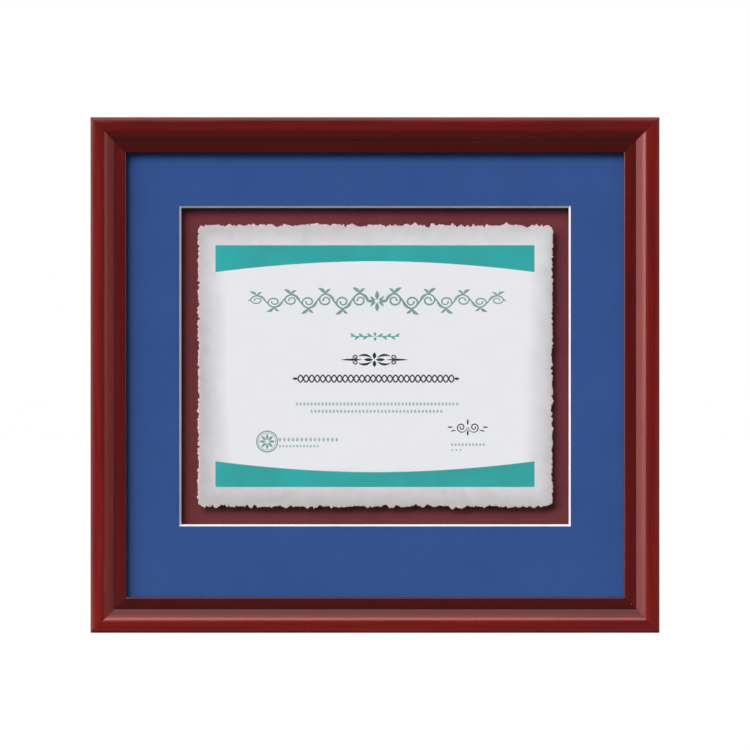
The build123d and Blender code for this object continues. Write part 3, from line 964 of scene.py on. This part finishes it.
def curl(centre, start_radius, end_radius, start_angle, turns, thickness, steps=44):
    """A spiral stroke that winds in and ends in a small bead."""
    stroke = []
    for k in range(steps + 1):
        share = k / steps
        angle = start_angle + 2 * math.pi * turns * share
        radius = start_radius + (end_radius - start_radius) * share ** 0.8
        place = Vector(centre) + Vector((math.cos(angle), math.sin(angle))) * radius
        bead = 1.15 * math.exp(-((1 - share) * 16) ** 2)
        stroke.append((place, thickness * (0.55 + 0.45 * math.sin(math.pi * share) + bead)))
    return stroke


def mirrored(strokes):
    """Strokes and their reflections left to right."""
    flipped = [[(Vector((-p.x, p.y)), r) for p, r in stroke] for stroke in strokes]
    return strokes + flipped


def ink_piece(name, strokes, centre_x, centre_z, finish):
    """Grows pen strokes, in millimetres from their own centre, into one printed piece."""
    drawing = bpy.data.curves.new(name, "CURVE")
    drawing.dimensions = "3D"
    for stroke in strokes:
        spline = drawing.splines.new("POLY")
        spline.points.add(len(stroke) - 1)
        for point, (place, thickness) in zip(spline.points, stroke):
            point.co = (place.x * MM, place.y * MM, 0, 1)
            point.radius = thickness / 2 * MM
    lift = Vector((centre_x * MM, sheet_low.y, sheet_centre.z + centre_z * MM))
    mesh = grown(
        name, drawing, pen_strokes,
        **{"Ink Height": INK, "Lift": lift, "Finish": finish},
    )
    face_out(mesh)
    add_piece(name, mesh, finish)


def running_scroll(reach, waves, amplitude, thickness):
    """Half a running scroll: a waving stem, a curl in every hollow, a leaf pair on every crest."""
    span = reach / waves
    stem = []
    steps = 16 * waves
    for k in range(steps + 1):
        share = k / steps
        rise = amplitude * (1 - 0.35 * share ** 2) * math.sin(math.pi * waves * share)
        stem.append((Vector((reach * share, rise)), thickness * (1.1 - 0.5 * share)))
    strokes = [stem]
    for wave in range(waves):
        up = 1 if wave % 2 == 0 else -1
        fade = 1 - 0.35 * ((wave + 0.5) / waves) ** 2
        middle = (span * (wave + 0.5), up * 0.12 * amplitude)
        winding = curl((0, 0), 0.5 * span, 0.12 * span, math.pi, -1.55, thickness * fade)
        strokes.append([
            (Vector((middle[0] + p.x, up * (p.y * 0.92 * fade + 0.12 * amplitude))), r)
            for p, r in winding
        ])
        crest = Vector((middle[0], up * amplitude * fade))
        for lean, rise, swell in ((0.42, 0.34, 1.9), (-0.30, 0.30, 1.5)):
            tip = crest + Vector((lean * span, up * rise * span * fade))
            bow = math.copysign(0.12, lean) * up
            strokes.append(lens(crest, tip, swell * thickness * fade, bow))
    return strokes


pen_strokes = pen_strokes_tree()
grey_green_ink = printed_ink("grey_green_ink", GREY_GREEN, GREY_GREEN_THIN)
green_ink = printed_ink("green_ink", GREEN, GREEN_THIN)
dark_ink = printed_ink("dark_ink", DARK, DARK_THIN, 0.18)

SCROLL_START = Vector((6.2, 0))
half_scroll = running_scroll(reach=86, waves=7, amplitude=5.4, thickness=1.3)
scroll = [[(p + SCROLL_START, r) for p, r in stroke] for stroke in half_scroll]
scroll += [lens((1.4, 0), (7.4, 0), 2.2), lens((0.9, 0.9), (4.6, 3.9), 1.7, -0.14)]
scroll += [lens((0.9, -0.9), (4.6, -3.9), 1.7, 0.14)]
scroll = mirrored(scroll) + [lens((0, 1.0), (0, 7.4), 2.9), lens((0, -1.0), (0, -7.4), 2.9)]
ink_piece("running_scroll", scroll, 1.5, 46.5, grey_green_ink)

# The leaves stand on the twig's two sides by turns.
LEAF_PITCH = 3.0
twig = [lens((0, 0.3), (0, 3.2), 1.9), lens((0, -0.3), (0, -3.2), 1.9)]
twig.append(lens((0.8, 0), (17.4, 0), 0.8, blunt=0.6))
for k in range(5):
    side = (-1) ** k
    start = Vector((2.0 + LEAF_PITCH * k, 0.2 * side))
    twig.append(lens(start, start + Vector((3.4, 2.3 * side)), 1.7, -0.14 * side))
ink_piece("leaf_chain", mirrored(twig), 0, 21.2, green_ink)

device = [
    lens((0, 0.6), (0, 5.2), 2.6),
    lens((0, -0.6), (0, -5.2), 2.6),
    lens((1.0, 0), (7.5, 0), 2.2),
    lens((2.0, 1.2), (11.5, 2.4), 1.7, 0.16),
    lens((2.0, -1.2), (11.5, -2.4), 1.7, -0.16),
    lens((8.8, 0), (23.8, 0), 1.5),
    curl((13.6, 1.7), 2.2, 0.5, -0.5 * math.pi, 1.3, 0.85),
    curl((13.6, -1.7), 2.2, 0.5, 0.5 * math.pi, -1.3, 0.85),
]
ink_piece("centre_device", mirrored(device), -0.4, 4.6, dark_ink)

PLAIT_HALF = 56
PLAIT_WAVE = 8
PLAIT_RISE = 2.5
PLAIT_STEPS = 280
plait = []
for phase in (0, math.pi):
    strand = []
    for k in range(PLAIT_STEPS + 1):
        x = -PLAIT_HALF + 2 * PLAIT_HALF * k / PLAIT_STEPS
        rise = PLAIT_RISE * math.sin(2 * math.pi * x / PLAIT_WAVE + phase)
        strand.append((Vector((x, rise)), 1.0))
    plait.append(strand)
plait += mirrored([lens((PLAIT_HALF, 0), (PLAIT_HALF + 3.8, 0), 1.9)])
ink_piece("plaited_rule", plait, 0.7, -9.0, dark_ink)

# The dotted rules: rows of small printed lozenges in a faint teal, on the same paper. Each
# is given by its left end, right end and height on the sheet, in millimetres from the
# sheet's centre, then by its dots' pitch and how high a dot is.
FAINT_TEAL = (0.33, 0.46, 0.44, 1)
FAINT_TEAL_THIN = (0.40, 0.52, 0.50, 1)
DOT_SHARE = 0.66
DOTTED_RULES = {
    "dotted_rule_long": (-55.8, 58.8, -27.1, 2.6, 2.6),
    "dotted_rule_short": (-45.4, 47.4, -32.4, 2.6, 2.6),
    "dotted_rule_right_long": (55.2, 77.8, -56.2, 2.3, 2.4),
    "dotted_rule_right_short": (55.2, 61.4, -60.0, 2.1, 1.5),
    "dotted_rule_left_upper": (-68.0, -27.4, -52.6, 3.0, 3.0),
    "dotted_rule_left_lower": (-68.0, -41.0, -57.3, 2.4, 1.9),
}


def dotted_rule_tree():
    """Sets flat lozenge dots along a line."""
    tree, given = new_tree(
        "dotted_rule",
        {"Pitch": "Float", "Dot Length": "Float", "Dot Height": "Float", "Ink Height": "Float",
         "Finish": "Material"},
    )
    line = add_node(tree, "GeometryNodeMeshToCurve", {"Mesh": given["Geometry"]})
    places = add_node(
        tree, "GeometryNodeCurveToPoints", {"Curve": line, "Length": given["Pitch"]}, mode="LENGTH"
    )
    dot = add_node(tree, "GeometryNodeMeshCylinder", {"Vertices": 8, "Radius": 0.5, "Depth": 1.0})
    size = joined(tree, given["Dot Length"], given["Dot Height"], given["Ink Height"])
    shaped = add_node(tree, "GeometryNodeTransform", {"Geometry": dot, "Scale": size})
    upright = (math.radians(90), 0, 0)
    stood = add_node(tree, "GeometryNodeTransform", {"Geometry": shaped, "Rotation": upright})
    row = add_node(tree, "GeometryNodeInstanceOnPoints", {"Points": places, "Instance": stood})
    return end_tree(tree, row, given["Finish"])


faint_ink = printed_ink("faint_teal_ink", FAINT_TEAL, FAINT_TEAL_THIN)
dotted_rule = dotted_rule_tree()
for name, (left, right, z, pitch, dot_height) in DOTTED_RULES.items():
    line = bpy.data.meshes.new(name)
    ends = [(x * MM, sheet_low.y, sheet_centre.z + z * MM) for x in (left, right)]
    line.from_pydata(ends, [(0, 1)], [])
    mesh = grown(
        name, line, dotted_rule,
        **{"Pitch": pitch * MM, "Dot Length": DOT_SHARE * pitch * MM,
           "Dot Height": dot_height * MM, "Ink Height": 2 * INK, "Finish": faint_ink},
    )
    face_out(mesh)
    add_piece(name, mesh, faint_ink)


def ways_round(count):
    """Ways out from a centre, at even turns."""
    turns = [2 * math.pi * k / count for k in range(count)]
    return [Vector((math.cos(turn), math.sin(turn))) for turn in turns]


rosette = []
ring_ways = ways_round(72)
for ring, line_width in ((7.4, 0.95), (6.1, 0.4)):
    rosette.append([(way * ring, line_width) for way in [*ring_ways, ring_ways[0]]])
rosette += [lens(way * 1.1, way * 5.5, 1.9) for way in ways_round(8)]
ink_piece("small_rosette", rosette, -77.2, -54.0, grey_green_ink)

curls = mirrored([
    curl((4.6, 0), 4.2, 0.7, math.pi, 1.6, 0.85),
    lens((10.6, 0.2), (14.6, 0.2), 1.1),
    lens((8.3, -2.4), (12.2, -3.3), 0.9, 0.16),
])
curls += [lens((0, 1.6), (0, 6.2), 1.3), lens((0, -1.6), (0, -6.2), 1.3)]
ink_piece("curl_pair", curls, 66.4, -43.9, dark_ink)

# The backing board: brown tempered hardboard, smooth on the outside, flecked with fibre
# and with darker and paler chips. It lies in the rebate under the turn buttons.
HARDBOARD_DEEP = (0.105, 0.052, 0.024, 1)
HARDBOARD_LIGHT = (0.27, 0.158, 0.085, 1)
DARK_CHIPS = (0.045, 0.022, 0.011, 1)
PALE_CHIPS = (0.40, 0.27, 0.16, 1)


def hardboard():
    finish, tree, shader = new_finish("backing_hardboard", Specular_IOR_Level=0.3)
    place = place_on(tree)
    cloud = patches(tree, place, 24.0, 4.0, 0.6)
    fibre = patches(tree, stretched(tree, place, (1.0, 1.0, 0.5)), 620.0, 5.0, 0.75, 1.2)
    chip = patches(tree, stretched(tree, place, (1.0, 1.0, 0.4)), 1150.0, 2.0, 0.5, 0.6)
    tone = plus(tree, times(tree, cloud, 0.2), times(tree, fibre, 0.8))
    brown = mixed(tree, spread(tree, tone, 0.36, 0.64), HARDBOARD_DEEP, HARDBOARD_LIGHT)
    brown = mixed(tree, times(tree, spread(tree, chip, 0.60, 0.72), 0.7), brown, DARK_CHIPS)
    brown = mixed(tree, times(tree, spread(tree, chip, 0.36, 0.26), 0.5), brown, PALE_CHIPS)
    rough = spread(tree, fibre, 0.3, 0.7, 0.48, 0.7)
    dress(tree, shader, brown, rough, fibre, 0.05 * MM, 0.6)
    return finish


refinish(hardboard(), "backing_board")

# The turn buttons and their screws: stamped zinc-plated plates, each turning on a pan
# head screw, eight round the back; then the two strap hangers with their rings.
refinish(steel, "turn_button_screws", "hanger_screws")
refinish(steel, *[f"turn_button_{number}" for number in range(1, 9)])
for side in ("left", "right"):
    refinish(steel, f"hanger_strap_{side}", f"hanger_ring_{side}")

# The wall bumpers: soft dark rubber discs stuck on at the lower corners, greyed a little
# by the bloom that rubber gets.
RUBBER_DARK = (0.018, 0.018, 0.019, 1)
RUBBER_BLOOM = (0.055, 0.054, 0.052, 1)


def bumper_rubber():
    finish, tree, shader = new_finish("bumper_rubber", Specular_IOR_Level=0.35)
    place = place_on(tree)
    bloom = patches(tree, place, 520.0, 4.0, 0.6)
    grit = patches(tree, place, 4200.0, 2.0)
    tone = mixed(tree, spread(tree, bloom, 0.45, 0.7), RUBBER_DARK, RUBBER_BLOOM)
    dress(tree, shader, tone, spread(tree, bloom, 0.3, 0.7, 0.55, 0.8), grit, 0.03 * MM)
    return finish


refinish(bumper_rubber(), "bumper_left", "bumper_right")

# The studio: a plain pale floor below the hung frame, a soft main light from the upper
# left in front, three low ones that graze it from above, from the left and faintly from
# the right, a fill behind, and an even pale surround.
FLOOR_DROP = 0.26
FLOOR_REACH = 40
LENS = 300
SENSOR_WIDTH = 36
VIEW_WIDTH = 0.5356
# The width above is what the picture spans this far behind the frame's front.
VIEW_DEPTH = 2 * MM
WHITE = (1, 1, 1, 1)
AMBIENT = 0.16
FRONT_SHINE = 0.08
# Each lamp: where its light comes from, its strength and how wide it is, in degrees.
LAMPS = {
    "main_light": ((-0.43, -0.75, 0.52), 1.95, 30),
    "low_light_above": ((-0.10, -0.69, 0.72), 0.80, 30),
    "low_light_left": ((-0.86, -0.50, 0.13), 1.58, 36),
    "low_light_right": ((0.86, -0.50, 0.05), 0.35, 36),
    "back_fill": ((0.45, 0.75, 0.5), 2.2, 40),
}


def see_white(tree):
    """1 for the rays that see a white surround: the camera's, straight or through glass."""
    ray = add_node(tree, "ShaderNodeLightPath").outputs
    return sums(tree, "MAXIMUM", ray["Is Camera Ray"], ray["Is Transmission Ray"])


world = bpy.data.worlds.new("pale_surround")
bpy.context.scene.world = world
world.use_nodes = True
surround = world.node_tree
background = surround.nodes["Background"]
background.inputs["Color"].default_value = WHITE
# Gloss mirrors a white surround that dims towards the side the photographer stands on.
shine = add_node(surround, "ShaderNodeLightPath").outputs["Is Glossy Ray"]
heading = add_node(surround, "ShaderNodeTexCoord").outputs["Generated"]
behind = axes(surround, heading)["Y"]
mirrored_level = spread(surround, behind, -0.75, 0.15, FRONT_SHINE, 1.0)
level = mixed(surround, shine, AMBIENT, mirrored_level, "FLOAT")
level = sums(surround, "MAXIMUM", level, see_white(surround))
surround.links.new(level, background.inputs["Strength"])


def soft_sun(name, toward, strength, spread_degrees):
    """A lamp with no falloff whose light comes from one broad direction."""
    lamp = bpy.data.lights.new(name, "SUN")
    lamp.energy = strength
    lamp.angle = math.radians(spread_degrees)
    holder = new_object(name, lamp)
    holder.rotation_mode = "QUATERNION"
    holder.rotation_quaternion = toward.to_track_quat("Z", "Y")


for name, (toward, strength, spread_degrees) in LAMPS.items():
    soft_sun(name, Vector(toward), strength, spread_degrees)

floor_mesh = bpy.data.meshes.new("floor")
floor_z = cad_low.z - FLOOR_DROP
floor_corners = [
    (x * FLOOR_REACH, y * FLOOR_REACH, floor_z) for x, y in ((-1, -1), (1, -1), (1, 1), (-1, 1))
]
floor_mesh.from_pydata(floor_corners, [], [(0, 1, 2, 3)])
floor = new_object("floor", floor_mesh)
pale, tree, shader = new_finish(
    "pale_floor", Roughness=0.9, Specular_IOR_Level=0.1, Emission_Color=WHITE
)
seen = see_white(tree)
# Seen, it is pale and takes the object's shadow; it throws little light back up.
tree.links.new(spread(tree, seen, 0.0, 1.0, 0.12, 0.45), shader.inputs["Base Color"])
tree.links.new(spread(tree, seen, 0.0, 1.0, 0.0, 0.5), shader.inputs["Emission Strength"])
floor_mesh.materials.append(pale)

eye = bpy.data.cameras.new("eye")
eye.lens = LENS
eye.sensor_width = SENSOR_WIDTH
eye.clip_end = 100
camera = new_object("eye", eye)
away = VIEW_WIDTH * LENS / SENSOR_WIDTH
camera.location = (0, cad_low.y + VIEW_DEPTH - away, (cad_low.z + cad_high.z) / 2)
camera.rotation_euler = (math.radians(90), 0, 0)
bpy.context.scene.camera = camera
bpy.context.scene.view_settings.view_transform = "Standard"
